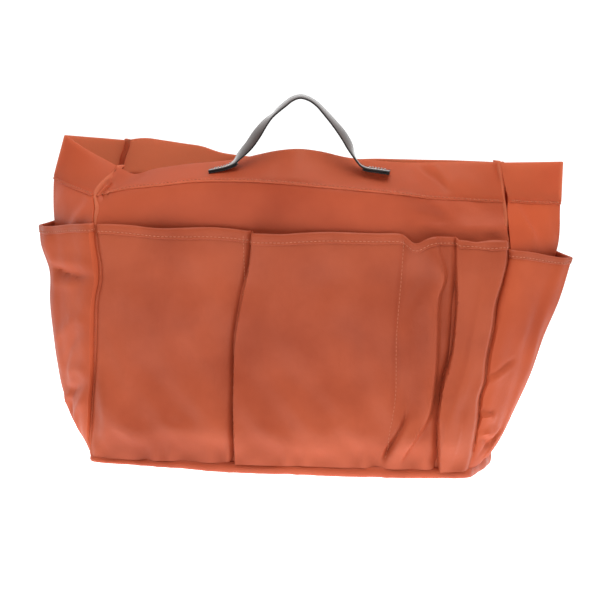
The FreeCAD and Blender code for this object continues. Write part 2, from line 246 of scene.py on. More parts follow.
def post(name, height):
    """The points of a corner seam, crease or side pocket's line at each height."""
    x, y, keys = POSTS[name]
    points = [(x + dx, y + dy, SEAM + along + dz) for along, dx, dy, dz in keys]
    return hermite([key[0] for key in keys], points, height)


def strays(rows, s, height):
    """The rows' offset at each fraction and height."""
    offsets = [hermite([0, *(k[0] for k in row), 1],
                       [(0, 0, 0), *((0, k[1], k[2]) for k in row), (0, 0, 0)], s)
               for row in rows.values()]
    return hermite(list(rows), np.array(offsets), height)


def place_across(side, s, height):
    """How far a point is along its face: from the left corner, or round a gusset."""
    if side in ("left", "right"):
        return s * GUSSET_WIDTH
    left, right = post(f"{side}_left", height)[:, 0], post(f"{side}_right", height)[:, 0]
    return left + (right - left) * s - LEFT


def fraction_across(side, place, height):
    """The fraction along a face at each place from the left corner."""
    left, right = post(f"{side}_left", height)[:, 0], post(f"{side}_right", height)[:, 0]
    return (place + LEFT - left) / (right - left)


def creases(keys, place, height):
    """The lift of a set of soft creases, each along a short straight run."""
    lift = np.zeros(len(place))
    for x0, y0, x1, y1, width, tall in keys:
        run = np.array([x1 - x0, y1 - y0])
        length = math.hypot(*run)
        along = ((place - x0) * run[0] + (height - y0) * run[1]) / length**2
        bend = 0.05 * length * np.sin(along * math.pi * 1.4 + x0)
        away = ((place - x0) * run[1] - (height - y0) * run[0]) / length - bend
        ends = smoothstep(-0.12, 0.3, along) * smoothstep(1.12, 0.7, along)
        lift += tall * ends * np.exp(-(away / width) ** 2)
    return lift


def rumple(points, size, seed):
    """Gentle, uneven swells in the cloth, longer up and down than across."""
    swells = [noise.noise(Vector((x / size + seed, y / size, z / (size * 1.9))))
              for x, y, z in points]
    return np.array(swells)


def straight_band(face, s, height):
    """The stiff, folded band is flat between its seam and the rim."""
    along = np.clip((height - BAND_FOOT) / (RIM - BAND_FOOT), 0, 1)[:, None]
    foot, rim = face(s, np.full(len(s), BAND_FOOT)), face(s, np.full(len(s), RIM))
    below = face(s, np.minimum(height, BAND_FOOT))
    return np.where(along > 0, foot + (rim - foot) * along, below)


def rounded_corner(front, crease, back, s, roundness):
    """A line from front to back by way of the crease, from a sharp fold to a full curve."""
    t = (1 - np.abs(2 * s - 1))[:, None]
    seam = np.where(s[:, None] < 0.5, front, back)
    sharp = seam + (crease - seam) * t
    along, across = np.sin(t * math.pi / 2), 1 - np.cos(t * math.pi / 2)
    full = seam.copy()
    full[:, 0:1] += (crease - seam)[:, 0:1] * along
    full[:, 1:2] += (crease - seam)[:, 1:2] * across
    full[:, 2:3] += (crease - seam)[:, 2:3] * t
    return sharp + (full - sharp) * roundness


def corner_knot(place, height):
    """The gathered folds beside the front left seam, where the band leans back."""
    folds = np.arcsin(np.sin((place + 1.3 * np.sin(height / 4.5)) * 2 * math.pi / 5.6 + 0.6))
    return 1.8 * folds * smoothstep(17, 9, place) * smoothstep(0, 2.5, place) \
        * smoothstep(168, 182, height)


def smooth_face(side, s, height):
    """A face with no creases: the straight line between its seams and its strays, or a gusset."""
    if side in ROWS:
        left, right = post(f"{side}_left", height), post(f"{side}_right", height)
        return left + (right - left) * s[:, None] + strays(ROWS[side], s, height)
    return rounded_corner(post(f"front_{side}", height), post(f"{side}_crease", height),
                          post(f"back_{side}", height), s, 0.12)


def cloth_face(side):
    """A face of the bag: its smooth shape, its creases, and slight swells in the cloth."""
    def surface(s, height):
        points = straight_band(partial(smooth_face, side), s, height)
        place = place_across(side, s, height)
        inner = smoothstep(0, 12, place) * smoothstep(0, 0.05, 1 - s)
        lift = creases(CREASES[side], place, height)
        lift += inner * (1.1 * rumple(points, 26, 3) + 1.2 * rumple(points, 60, 9))
        if side == "front":
            lift += corner_knot(place, height)
        if side not in ROWS:
            lift += 1.5 * np.exp(-(s / 0.1) ** 2) * smoothstep(20, 50, height) \
                * smoothstep(RIM, 185, height)
        return points + np.array(OUTWARD[side]) * lift[:, None]
    return surface


FACES = {side: cloth_face(side) for side in OUTWARD}


def surface_normals(surface, side, s, height):
    """Unit vectors out of a surface, away from the bag's inside."""
    near, far = np.clip(s - 0.004, 0, 1), np.clip(s + 0.004, 0, 1)
    across = surface(far, height) - surface(near, height)
    up = surface(s, height + 0.6) - surface(s, height - 0.6)
    normals = unit(np.cross(across, up))
    middle = normals[len(normals) // 2]
    return -normals if middle @ np.array(OUTWARD[side]) < 0 else normals


def raised(surface, side, distance):
    """A surface that stands off another by distance(s, height), along its normals."""
    def offset_surface(s, height):
        normals = surface_normals(surface, side, s, height)
        return surface(s, height) + normals * distance(s, height)[:, None]
    return offset_surface


# ---------------- pockets
# Seams and folds as (height along the cloth, place from the left corner).
FRONT_STITCHES = (
    [(0, 97.6), (56, 100.9), (112, 103.4), (POCKET_TOP, 103.9)],
    [(0, 199), (8, 199.9), (40, 205.2), (93, 205.8), (122, 207.7), (POCKET_TOP, 210)],
)
BACK_STITCHES = (
    [(0, 88), (80, 91), (POCKET_TOP, 92)],
    [(0, 172), (80, 178), (POCKET_TOP, 182)],
)
PLEAT = [(0, 97.4), (45, 97.6), (85, 98.7), (112, 102.9), (154, 109.8), (POCKET_TOP, 110.5)]
THIRD_POCKET_RIDGE = [(0, 206), (18, 215.5), (32, 224.3), (60, 229.5), (94, 231.2), (117, 232),
                      (130, 235.1), (151, 230.4), (POCKET_TOP, 229)]
OVERLAP = [(0, 234.7), (9, 234.5), (34, 233.5), (50, 235), (80, 242.3), (94, 243.6),
           (POCKET_TOP, 243.4)]
FOURTH_POCKET_RIDGE = [(0, 238), (34, 239), (62, 249.7), (110, 258.2), (POCKET_TOP, 260)]
# How far the strip's edge lies below its full height, from the left corner.
TOP_DROP = [(0, 1.8), (78, 2.6), (137, 3.8), (205, 2.8), (235, 4.6), (260, 4.1), (281, 5)]
POCKET_CREASES = [
    (12, 30, 46, 12, 5, 1.6), (40, 26, 88, 16, 5, 1.2), (22, 120, 60, 60, 9, 1),
    (60, 140, 88, 84, 9, -0.9), (30, 70, 70, 26, 8, -0.9), (14, 96, 22, 40, 5, 0.9),
    (118, 130, 150, 60, 10, 1), (150, 140, 176, 70, 10, -0.9), (112, 24, 160, 12, 5, 1.4),
    (160, 30, 192, 14, 5, 1.2), (126, 70, 168, 24, 8, -0.8), (182, 110, 194, 50, 7, 0.9),
    (199, 3, 213, 38, 1.7, -5.4), (204, 8, 220, 40, 3.2, 3), (211, 90, 222, 130, 5, -1.6),
    (208, 60, 216, 110, 4, 0.9), (254, 30, 262, 70, 5, -1.4), (246, 14, 252, 50, 4, -1.6)]


def away_from(path, place, height):
    return place - curve(path, height)


def fold_edge(away, depth):
    """A pleat's edge: cloth right of the path lies on top, and falls away over its width."""
    over = smoothstep(-0.5, 0.5, away)
    under = np.exp(-(np.minimum(away, 0) / 3.0) ** 2) * (1 - over)
    return depth * (over * np.exp(-np.clip(away, 0, None) / 38) - 0.8 * under)


def tucks(side, s, height, width):
    """How near a pocket strip is to being pulled in at its left and right seams."""
    left, here, right = (place_across(side, fraction, height)
                         for fraction in (np.zeros(len(s)), s, np.ones(len(s))))
    return np.exp(-((here - left) / width) ** 2), np.exp(-((right - here) / width) ** 2)


def front_fullness(s, height):
    """How far the front pocket strip stands off the panel."""
    place = place_across("front", s, height)
    width = place_across("front", np.ones(len(s)), height)
    stand = 1.6 + 1.4 * height / POCKET_TOP
    pucker = np.sin(place / 2.9 + 1.5 * np.sin(place / 7.3)) * bump(height, 5, 4, 6)
    sag = bump(height, 24, 14, 32) * smoothstep(0, 12, place) * smoothstep(0, 14, width - place)
    sag *= 0.9 + 0.16 * np.cos(place / 13) + 0.14 * np.sin(place / 5.1 + height / 7)
    stand += 8.5 * sag + 1.1 * pucker
    level = np.stack([place, np.zeros(len(s)), height], axis=1)
    stand += 2.2 * rumple(level, 36, 2.0) + 1.4 * rumple(level, 17, 7.0)
    stand += 3.0 * smoothstep(246, 256, place) * smoothstep(60, 150, height)
    stand += 1.6 * np.sin(np.clip(place / 100, 0, 1) * math.pi) * smoothstep(0, 60, height)
    stand += fold_edge(away_from(PLEAT, place, height), 4.2)
    stand -= 1.3 * np.exp(-(away_from(FRONT_STITCHES[1], place, height) / 2.2) ** 2) \
        * smoothstep(20, 60, height)
    stand += 8.0 * bump(away_from(THIRD_POCKET_RIDGE, place, height), 0, 10, 1.9) \
        * (1 - 0.7 * smoothstep(136, POCKET_TOP, height)) * smoothstep(0, 22, height)
    stand += 5.5 * bump(place, 217, 6, 9) * smoothstep(128, POCKET_TOP, height)
    step = 5.6 - 3.8 * smoothstep(105, 150, height)
    stand += fold_edge(away_from(OVERLAP, place, height), step)
    stand += 2.6 * bump(away_from(FOURTH_POCKET_RIDGE, place, height), 0, 3.2, 6) \
        * smoothstep(0, 25, height) * smoothstep(150, 110, height)
    stand += creases(POCKET_CREASES, place, height)
    stand += 3.2 * bump(width - place, 4.5, 3, 7) * smoothstep(10, 40, height)
    left, right = tucks("front", s, height, 2)
    stand = stand * (1 - 0.8 * np.maximum(left, right))
    return stand - (3.0 * left + 4.2 * right) * smoothstep(5, 25, height)


def front_pocket_top(s):
    """The strip's top edge: it sags at the third pocket and steps down at the fourth."""
    level = np.full(len(s), float(POCKET_TOP))
    place = place_across("front", s, level)
    level -= 5.0 * bump(place, 216.5, 6, 8) + 2.2 * smoothstep(242.5, 244.5, place)
    return level - curve(TOP_DROP, place) - 2.6 * smoothstep(246, 274, place) \
        + 0.5 * np.sin(place / 11)


def back_pocket_top(s):
    level = np.full(len(s), float(POCKET_TOP))
    return level - 2.5 * np.sin(s * 3 * math.pi) ** 2


def back_fullness(s, height):
    """How far the back pocket strip stands off, with a dip at each stitched line."""
    place = place_across("back", s, height)
    width = place_across("back", np.ones(len(s)), height)
    stand = 2.2 + 2.2 * height / POCKET_TOP
    stand += 7.5 * bump(height, 24, 14, 32) * smoothstep(0, 14, place) \
        * smoothstep(0, 14, width - place)
    for path in BACK_STITCHES:
        stand -= 1.8 * np.exp(-(away_from(path, place, height) / 3) ** 2) \
            * smoothstep(12, 40, height)
    for centre in (45, 132, 225):
        stand += 2.4 * bump(place, centre, 28, 28) * smoothstep(0, POCKET_TOP, height)
    stand += 0.8 * creases(POCKET_CREASES[:12], 270 - place, height)
    return stand * (1 - 0.7 * sum(tucks("back", s, height, 4)))


front_pockets = raised(FACES["front"], "front", front_fullness)
back_pockets = raised(FACES["back"], "back", back_fullness)

# The creases in each side pocket's cloth, as on the faces.
SIDE_CREASES = {
    "left": [
        (6, 124, 44, 122, 2.6, -2.4), (4, 131, 40, 130, 4, 1.6), (12, 118, 46, 112, 4, 1.6),
        (8, 96, 22, 88, 4, 1.4), (20, 92, 42, 66, 4, 1.9), (10, 84, 34, 56, 3.2, -1.6),
        (8, 62, 26, 50, 3.5, 1.6), (6, 52, 34, 36, 3, -1.8), (8, 44, 22, 12, 3.2, 2.2),
        (16, 44, 36, 22, 3, -2.4), (26, 40, 42, 24, 3.5, 1.8), (30, 146, 46, 134, 5, 1.5),
        (60, 120, 90, 80, 6, 1.6), (58, 60, 84, 30, 6, -1.4), (66, 140, 88, 120, 6, 1.2)],
    "right": [
        (1, 62, 24, 69, 1.7, -1.5), (2, 58, 22, 64, 2, 1.1), (1, 40, 14, 34, 1.8, -1.8),
        (2, 35, 18, 30, 2, 1.6), (4, 20, 24, 14, 2, -2), (6, 24, 28, 20, 2.2, 1.8),
        (10, 8, 34, 20, 2.2, -1.8), (20, 4, 38, 18, 2.2, 2), (2, 26, 12, 24, 1.8, -1.4),
        (14, 130, 24, 70, 6, 1), (30, 120, 34, 60, 5, -0.9), (38, 128, 42, 40, 3.5, 1.6),
        (60, 120, 86, 70, 6, 1.4), (60, 60, 84, 24, 6, -1.2)],
}


def side_top(side, s):
    """The height along the cloth of a side pocket's edge, lower at its outer crease."""
    at_seam, at_crease = (POCKET_TOP, 151) if side == "left" else (147, 137)
    out = 1 - np.abs(2 * s - 1)
    return at_seam + (at_crease - at_seam) * smoothstep(0, 1, out) ** 0.8


def side_pocket(side):
    """A side pocket's cloth, from the front seam round its middle line to the back seam."""
    tilt = -1 if side == "left" else 1
    reach = 5.6 if side == "left" else 4.2

    def surface(s, height):
        line = rounded_corner(post(f"front_{side}", height), post(f"{side}_lip", height),
                              post(f"back_{side}", height), s, 0.38)
        low = smoothstep(2, 26, height)
        line[:, 1] -= reach * bump(s, 0.045, 0.018, 0.09) * low
        line[:, 0] -= tilt * 2.4 * bump(s, 0.03, 0.018, 0.05) * low
        place = s * GUSSET_WIDTH
        lift = creases(SIDE_CREASES[side], place, height)
        lift += 1.5 * bump(height, 13, 8, 20) * np.sin(s * math.pi)
        lift += 1.0 * bump(s, 0.42, 0.05, 0.05) - 0.9 * bump(s, 0.33, 0.07, 0.05)
        lift += 1.2 * rumple(line, 20, 5.0) * np.sin(s * math.pi)
        facing = np.where(s < 0.5, -0.75, 0.75) * (1 - bump(s, 0.5, 0.08, 0.08))
        edge = bump(s, 0.5, 0.1, 0.1)
        line[:, 0] += tilt * 0.65 * lift * (1 - (0.5 if side == "left" else 0.9) * edge)
        line[:, 1] += facing * lift
        return line
    return surface


# ---------------- meshes
def place_in_scene(name, data):
    item = bpy.data.objects.new(name, data)
    bpy.context.scene.collection.objects.link(item)
    return item


def new_object(name, vertices, faces, material, smooth_angle=50):
    """A smooth-shaded piece from vertices in millimetres."""
    mesh = bpy.data.meshes.new(name)
    mesh.from_pydata([tuple(v * MM for v in p) for p in vertices], [], faces)
    mesh.validate()
    mesh.update()
    mesh.materials.append(material)
    for polygon in mesh.polygons:
        polygon.use_smooth = True
    mesh.set_sharp_from_angle(angle=math.radians(smooth_angle))
    return place_in_scene(name, mesh)


def strip_faces(rows, columns, start=0, wrap_rows=False, wrap_columns=False, flip=False):
    """Quads over a grid of vertices numbered row by row, from the vertex start."""
    faces = []
    for i in range(rows if wrap_rows else rows - 1):
        below, above = i * columns, (i + 1) % rows * columns
        for j in range(columns if wrap_columns else columns - 1):
            beside = (j + 1) % columns
            quad = (below + j, below + beside, above + beside, above + j)
            faces.append(tuple(start + k for k in (quad[::-1] if flip else quad)))
    return faces


def tube(name, rows, material, flip=False, smooth_angle=50):
    """A closed tube: each row of points runs along it, and the rows go round it."""
    count, columns = len(rows), len(rows[0])
    faces = strip_faces(count, columns, wrap_rows=True, flip=flip)
    near, far = [tuple(i * columns + j for i in range(count)) for j in (0, columns - 1)]
    faces += [near[::-1], far] if flip else [near, far[::-1]]
    return new_object(name, np.vstack(rows), faces, material, smooth_angle)


def slab(name, grid, material, outward):
    """A closed sheet of cloth: the grid of points given a thickness along its normals."""
    rows, columns = grid.shape[:2]
    normals = unit(np.cross(np.gradient(grid, axis=1), np.gradient(grid, axis=0)))
    flip = normals[rows // 2, columns // 2] @ np.array(outward) < 0
    if flip:
        normals = -normals
    outer = (grid + normals * CLOTH_THICKNESS / 2).reshape(-1, 3)
    inner = (grid - normals * CLOTH_THICKNESS / 2).reshape(-1, 3)
    count = rows * columns
    faces = strip_faces(rows, columns, flip=flip)
    faces += strip_faces(rows, columns, count, flip=not flip)
    index = np.arange(count).reshape(rows, columns)
    loop = [*index[0].tolist(), *index[1:, -1].tolist(), *index[-1, -2::-1].tolist(),
            *index[-2:0:-1, 0].tolist()]
    for here, there in zip(loop, loop[1:] + loop[:1]):
        quad = (here, here + count, there + count, there)
        faces.append(quad[::-1] if flip else quad)
    return new_object(name, np.vstack([outer, inner]), faces, material)


def grid_of(surface, s_values, top, steps):
    """The surface's points on a grid, from its foot to top(s)."""
    return np.array([surface(s_values, v * top(s_values)) for v in np.linspace(0, 1, steps)])


def fractions(width, step=GRID_STEP):
    return np.linspace(0, 1, int(width / step) + 1)


def constant(value):
    return lambda s: np.full(len(s), float(value))


# ---------------- materials
def node_material(name):
    material = bpy.data.materials.new(name)
    material.use_nodes = True
    material.node_tree.nodes.clear()
    return material, material.node_tree


def add(tree, kind, inputs=None, **settings):
    """A new node: its settings and plainly named inputs, then the inputs named with spaces."""
    node = tree.nodes.new(kind)
    for key, value in settings.items():
        if key in node.inputs:
            node.inputs[key].default_value = value
        else:
            setattr(node, key, value)
    for key, value in (inputs or {}).items():
        node.inputs[key].default_value = value
    return node


def wire(tree, *links):
    """Link nodes, each link given as a node, its output, the next node and its input."""
    for source, output, target, socket in links:
        tree.links.new(source.outputs[output], target.inputs[socket])


def two_shades(tree, dark, light):
    """A mix between two colours by its first input."""
    return add(tree, "ShaderNodeMix", {6: (*dark, 1), 7: (*light, 1)}, data_type="RGBA")


def nylon(name, colour, deep, glow, roughness=0.42, shine=0.24, lit=(0.92, 0.22, 0.09)):
    """Plain-weave nylon: two shades in slow clouds, a fine weave, and light through the cloth."""
    material, tree = node_material(name)
    place = add(tree, "ShaderNodeTexCoord")
    clouds = add(tree, "ShaderNodeTexNoise", Scale=14.0, Detail=4.0, Roughness=0.55)
    streaks = add(tree, "ShaderNodeTexNoise", Scale=90.0, Detail=3.0, Roughness=0.6)
    spread = add(tree, "ShaderNodeMapRange", {"From Min": 0.32, "From Max": 0.62})
    shade = two_shades(tree, deep, colour)
    weave = [add(tree, "ShaderNodeTexWave", wave_type="BANDS", bands_direction=direction,
                 Scale=950.0, Distortion=0.6) for direction in ("X", "Z")]
    crossing = add(tree, "ShaderNodeMath", operation="MULTIPLY")
    fine = add(tree, "ShaderNodeBump", Strength=0.12, Distance=0.0002)
    soft = add(tree, "ShaderNodeBump", Strength=0.35, Distance=0.0012)
    gloss = add(tree, "ShaderNodeMapRange", {"To Min": roughness - 0.06, "To Max": roughness + 0.08})
    cloth = add(tree, "ShaderNodeBsdfPrincipled",
                {"Specular IOR Level": shine, "Specular Tint": (1.0, 0.78, 0.68, 1)})
    through = add(tree, "ShaderNodeBsdfTranslucent", Color=(*lit, 1))
    blend = add(tree, "ShaderNodeMixShader", {0: glow})
    output = add(tree, "ShaderNodeOutputMaterial")
    for index, wave in enumerate(weave):
        wire(tree, (place, "Object", wave, "Vector"), (wave, "Fac", crossing, index))
    wire(tree, (place, "Object", clouds, "Vector"), (place, "Object", streaks, "Vector"),
         (clouds, "Fac", spread, "Value"), (spread, "Result", shade, 0),
         (crossing, 0, fine, "Height"), (streaks, "Fac", soft, "Height"),
         (fine, "Normal", soft, "Normal"), (streaks, "Fac", gloss, "Value"),
         (shade, 2, cloth, "Base Color"), (gloss, "Result", cloth, "Roughness"),
         (soft, "Normal", cloth, "Normal"), (cloth, 0, blend, 1), (through, 0, blend, 2),
         (blend, 0, output, "Surface"))
    return material


def leather(name, colour, worn, coat):
    """Coated leather: dark brown with a fine pebble and worn, lighter grain."""
    material, tree = node_material(name)
    place = add(tree, "ShaderNodeTexCoord")
    pebble = add(tree, "ShaderNodeTexVoronoi", Scale=1400.0)
    wear = add(tree, "ShaderNodeTexNoise", Scale=120.0, Detail=5.0)
    shade = add(tree, "ShaderNodeValToRGB")
    for stop, position, tone in zip(shade.color_ramp.elements, (0.35, 0.75), (colour, worn)):
        stop.position = position
        stop.color = (*tone, 1)
    relief = add(tree, "ShaderNodeBump", Strength=0.25, Distance=0.0002)
    gloss = add(tree, "ShaderNodeMapRange", {"To Min": 0.26, "To Max": 0.42})
    finish = add(tree, "ShaderNodeBsdfPrincipled",
                 {"Coat Weight": coat, "Coat Roughness": 0.1,
                  "Specular IOR Level": 0.2 + 0.3 * coat})
    output = add(tree, "ShaderNodeOutputMaterial")
    wire(tree, (place, "Object", pebble, "Vector"), (place, "Object", wear, "Vector"),
         (wear, "Fac", shade, "Fac"), (wear, "Fac", gloss, "Value"),
         (pebble, "Distance", relief, "Height"), (shade, "Color", finish, "Base Color"),
         (gloss, "Result", finish, "Roughness"), (relief, "Normal", finish, "Normal"),
         (finish, 0, output, "Surface"))
    return material


def thread(name, colour):
    """Polyester thread: a twisted ply, with painted shade in its grooves, and a soft shine."""
    material, tree = node_material(name)
    place = add(tree, "ShaderNodeTexCoord")
    ply = add(tree, "ShaderNodeTexWave", Scale=900.0, Distortion=2.0, bands_direction="DIAGONAL")
    # The ply's grooves, where the bump is low, take the darker shade: painted shade.
    shade = two_shades(tree, [c * 0.7 for c in colour], colour)
    finish = add(tree, "ShaderNodeBsdfPrincipled", {"Specular IOR Level": 0.2}, Roughness=0.6)
    relief = add(tree, "ShaderNodeBump", Strength=0.4, Distance=0.0001)
    output = add(tree, "ShaderNodeOutputMaterial")
    wire(tree, (place, "Object", ply, "Vector"), (ply, "Fac", shade, 0),
         (ply, "Fac", relief, "Height"), (shade, 2, finish, "Base Color"),
         (relief, "Normal", finish, "Normal"), (finish, 0, output, "Surface"))
    return material


SHELL = nylon("shell_nylon", (0.55, 0.114, 0.050), (0.41, 0.076, 0.033), glow=0.26)
# The pocket strips and all the pocket bindings are the shell's nylon in a darker shade: painted shade,
# for the dimmer light on them.
POCKET_PAINTED_SHADE = nylon("pocket_nylon", (0.44, 0.089, 0.039), (0.33, 0.059, 0.0255), glow=0.08)
# The gussets and side pockets look a little brighter than the two faces. All this is one nylon: the
# gussets get a brighter shade than the shell, which is painted light, and the side pockets' shade is
# likewise set to how brightly they are lit.
GUSSET_PAINTED_LIGHT = nylon("gusset_nylon_painted_light", (0.62, 0.115, 0.043), (0.49, 0.081, 0.031), glow=0.22)
SIDE_POCKET = nylon("side_pocket_nylon", (0.52, 0.098, 0.038), (0.40, 0.068, 0.027),
                    roughness=0.52, shine=0.15, glow=0.1)
# The bands are the same nylon in a brighter shade: painted light, for how brightly the light falls on
# them.
BAND_PAINTED_LIGHT = nylon("band_nylon", (0.58, 0.134, 0.058), (0.47, 0.10, 0.044), glow=0.5,
             lit=(0.98, 0.52, 0.36))
# The seam tapes get a brighter shade than the shell: painted light, in place of the light they catch.
TAPE_PAINTED_LIGHT = nylon("binding_tape", (0.66, 0.17, 0.08), (0.58, 0.14, 0.065), roughness=0.6, glow=0.4,
             lit=(0.98, 0.62, 0.46))
STRAP = leather("strap_leather", (0.040, 0.025, 0.022), (0.070, 0.044, 0.038), 1.0)
STRAP_EDGE = leather("strap_edge", (0.010, 0.008, 0.008), (0.022, 0.016, 0.015), 0.0)
THREAD = thread("sewing_thread", (0.68, 0.22, 0.12))
PALE_THREAD = thread("strap_thread", (0.88, 0.78, 0.74))


# ---------------- sewn pieces
def finish_piece(piece, nodes=()):
    """Fasten a piece to the bag, in place of the CAD nodes given."""
    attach(piece, "bag")
    if nodes:
        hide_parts(*nodes)


def hem(name, surface, side, s_values, top, width, proud, material):
    """A strip folded over a cloth edge: up the outside, round the edge and down the inside."""
    run = np.arange(2.6, width - 1.5, 3.0)
    outside = [(-width, 0.3), (-width + 0.2, proud * 0.85), (-width + 0.7, proud),
               (-width + 1.4, proud * 0.68), (-width + 2.1, proud)]
    outside += [(-width + r, proud) for r in run[1:]] + [(-1.0, proud), (-0.2, proud * 0.8)]
    inside = [(-0.2, -proud * 0.8), (-1.0, -proud)] + [(-width + r, -proud) for r in run[::-1]]
    inside += [(-width + 0.4, -proud * 0.9), (-width, -0.3)]
    profile = outside + [(0.3, 0.0)] + inside
    wave = 1 + 0.12 * np.sin(s_values * 97) + 0.08 * np.sin(s_values * 41 + 1)
    rows = []
    for rise, off in profile:
        height = top(s_values) + rise
        normals = surface_normals(surface, side, s_values, height)
        swell = wave if 0.6 < abs(off) / proud < 0.75 else np.ones(len(s_values))
        rows.append(surface(s_values, height) + normals * (off * swell)[:, None])
    return tube(name, rows, material, flip=side in ("front", "right"), smooth_angle=60)


def path_points(surface, side, path, lift):
    """Dense points and normals along a path of (s, height) on a surface."""
    s, height = path
    normals = surface_normals(surface, side, s, height)
    return surface(s, height) + normals * lift, normals


def stitches(name, lines, material, pitch=STITCH_PITCH, length=1.75, radius=0.24):
    """One piece of short threads laid along some lines, each given as (points, normals)."""
    ring = [(math.cos(k * math.pi / 3), math.sin(k * math.pi / 3)) for k in range(6)]
    vertices, faces = [], []
    for points, normals in lines:
        gaps = np.linalg.norm(np.diff(points, axis=0), axis=1)
        along = np.concatenate([[0], np.cumsum(gaps)])
        for start in np.arange(pitch / 2, along[-1] - length, pitch):
            head, tail, normal = (
                np.array([np.interp(distance, along, values[:, axis]) for axis in range(3)])
                for distance, values in ((start, points), (start + length, points),
                                         (start, normals)))
            sideways = np.cross(unit(tail - head), normal)
            first = len(vertices)
            for fraction, size in ((0, 0.35), (0.2, 0.95), (0.8, 0.95), (1, 0.35)):
                lift = 0.16 * math.sin(fraction * math.pi) - 0.06
                centre = head + (tail - head) * fraction + normal * lift
                vertices += [centre + (sideways * x + normal * y) * radius * size for x, y in ring]
            faces += strip_faces(4, 6, start=first, wrap_columns=True)
            faces += [tuple(range(first + 5, first - 1, -1)), tuple(range(first + 18, first + 24))]
    return new_object(name, vertices, faces, material, smooth_angle=80)


# ---------------- the bag
def make_shell():
    """The four cloth faces, whose tops lie inside the bands."""
    for side, surface in FACES.items():
        name = f"{side}_panel" if side in ("front", "back") else f"{side}_gusset"
        cloth = SHELL if side in ("front", "back") else GUSSET_PAINTED_LIGHT
        s = fractions(FACE_WIDTHS[side])
        grid = grid_of(surface, s, constant(BAND_FOOT + 4), int(BAND_FOOT / GRID_STEP))
        piece = slab(f"{name}_cloth", grid, cloth, OUTWARD[side])
        finish_piece(piece, [name])


def make_bands():
    """The folded bands, just short of their corner seams, and their stitches inside and out."""
    lines = []
    run = np.linspace(0.01, 0.99, 240)
    for side, surface in FACES.items():
        short = 0.6 / FACE_WIDTHS[side]
        s = short + (1 - 2 * short) * fractions(FACE_WIDTHS[side], 2.0)
        piece = hem(f"{side}_top_band_cloth", surface, side, s, constant(RIM), RIM - BAND_FOOT,
                    BAND_PROUD, BAND_PAINTED_LIGHT)
        finish_piece(piece, [f"{side}_top_band"])
        height = np.full(len(run), BAND_FOOT + 1.4)
        for offset in (BAND_PROUD + 0.03, -BAND_PROUD - 0.03):
            lines.append(path_points(surface, side, (run, height), offset))
    finish_piece(stitches("band_stitches", lines, THREAD))


def make_pocket(side, name, surface, s, top, rows, cloth):
    """A pocket's cloth and the binding folded over its top edge."""
    piece = slab(f"{name}_cloth", grid_of(surface, s, top, rows), cloth, OUTWARD[side])
    finish_piece(piece, [name])
    edge = hem(f"{side}_pocket_binding_cloth", surface, side, s, top, BINDING, BINDING_PROUD,
               POCKET_PAINTED_SHADE)
    finish_piece(edge, [f"{side}_pocket_binding"])
    return piece


def binding_line(surface, side, top, run):
    """The line sewn through a binding, near its lower edge."""
    return path_points(surface, side, (run, top(run) - BINDING + 1.5), BINDING_PROUD - 0.05)


def make_front_and_back_pockets():
    """The pocket strips, with denser columns where the front one is folded, and their stitches."""
    sewn = []
    for side, surface, paths, feet, top, dense in (
            ("front", front_pockets, FRONT_STITCHES, (114, 6), front_pocket_top,
             ((0.35, 0.41), (0.71, 1.0), (0.0, 0.03))),
            ("back", back_pockets, BACK_STITCHES, (6, 6), back_pocket_top, ())):
        s = np.unique(np.concatenate([fractions(PANEL_WIDTH, 1.5)] + [
            np.linspace(low, high, int((high - low) * DENSE_COLUMNS)) for low, high in dense]))
        piece = make_pocket(side, f"{side}_pocket_strip", surface, s, top,
                            int(POCKET_TOP / GRID_STEP), POCKET_PAINTED_SHADE)
        sewn.append(binding_line(surface, side, top, np.linspace(0.008, 0.992, 400)))
        for path, foot in zip(paths, feet):
            heights = np.linspace(foot, POCKET_TOP, 160)
            s_path = fraction_across(side, curve(path, heights), heights)
            edge_height = top(s_path)
            # The thread lies on the binding near the edge, and on the cloth below it.
            lift = np.where(heights > edge_height - BINDING, 0.95, 0.35)[:, None]
            below = heights < edge_height - 1
            sewn.append(path_points(surface, side, (s_path[below], heights[below]), lift[below]))
    finish_piece(stitches("pocket_stitches", sewn, THREAD))


def make_side_pockets():
    """The pockets round the two gussets, and the stitches along their bindings."""
    sewn = []
    for side in ("left", "right"):
        surface = side_pocket(side)
        top = partial(side_top, side)
        piece = make_pocket(side, f"{side}_side_pocket", surface, np.linspace(0, 1, 63), top, 66,
                            SIDE_POCKET)
        sewn.append(binding_line(surface, side, top, np.linspace(0.01, 0.99, 220)))
    finish_piece(stitches("side_pocket_stitches", sewn, THREAD))


def base_loop():
    """The seam round the base, one closed line of points with directions outward."""
    foot = {}
    for side, surface in FACES.items():
        count = 90 if side in ("front", "back") else 36
        foot[side] = surface(np.linspace(0, 1, count), np.zeros(count))
    loop = np.vstack([foot["front"][:-1], foot["right"][:-1], foot["back"][::-1][:-1],
                      foot["left"][::-1][:-1]])
    for _ in range(4):
        loop = (np.roll(loop, 1, axis=0) + 2 * loop + np.roll(loop, -1, axis=0)) / 4
    tangent = np.roll(loop, -1, axis=0) - np.roll(loop, 1, axis=0)
    outward = np.cross(tangent, (0, 0, 1))
    outward[:, 2] = 0
    return loop, unit(outward)


